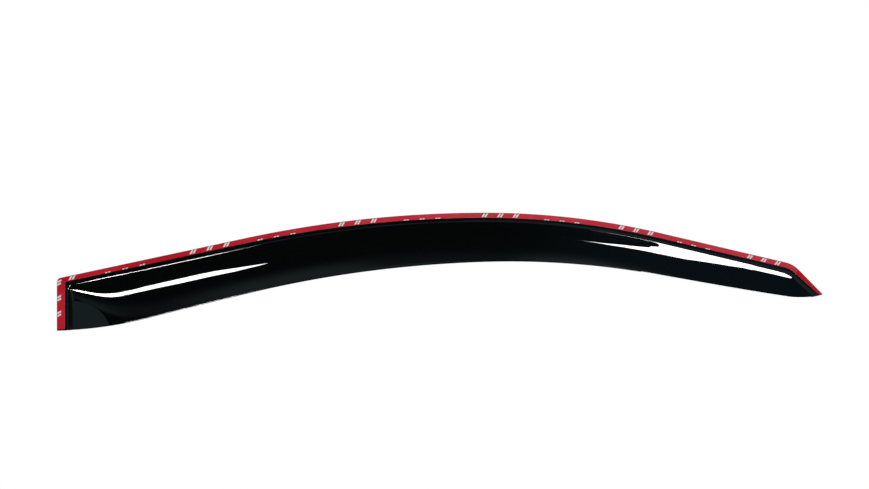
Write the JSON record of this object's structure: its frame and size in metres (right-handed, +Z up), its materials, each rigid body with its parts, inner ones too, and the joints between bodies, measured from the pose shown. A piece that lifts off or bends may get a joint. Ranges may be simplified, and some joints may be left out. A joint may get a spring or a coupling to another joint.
{
  "type": "window rain deflector",
  "caption": "Arched smoked-acrylic visor for a car's front door window, with a flat taped flange, a stepped curved panel and sloped ends that keep rain off an opened window.",
  "frame": {"origin": "on the bonding face, on the centreline of the top tape strip, at the highest point of the arch", "axes": "+X forward along the door towards the pointed end, +Z up, -Y towards the car, so the bonding face looks along -Y"},
  "size_m": [0.959, 0.0289, 0.1479],
  "materials": {
    "smoke_acrylic": "polished",
    "foam_tape": "matte",
    "red_liner": "satin"
  },
  "bodies": {
    "root": {"shield": "smoke_acrylic", "top_tape": "foam_tape", "rear_tape": "foam_tape", "front_tape": "foam_tape", "top_liner": "red_liner", "rear_liner": "red_liner", "front_liner": "red_liner"}
  },
  "joints": []
}
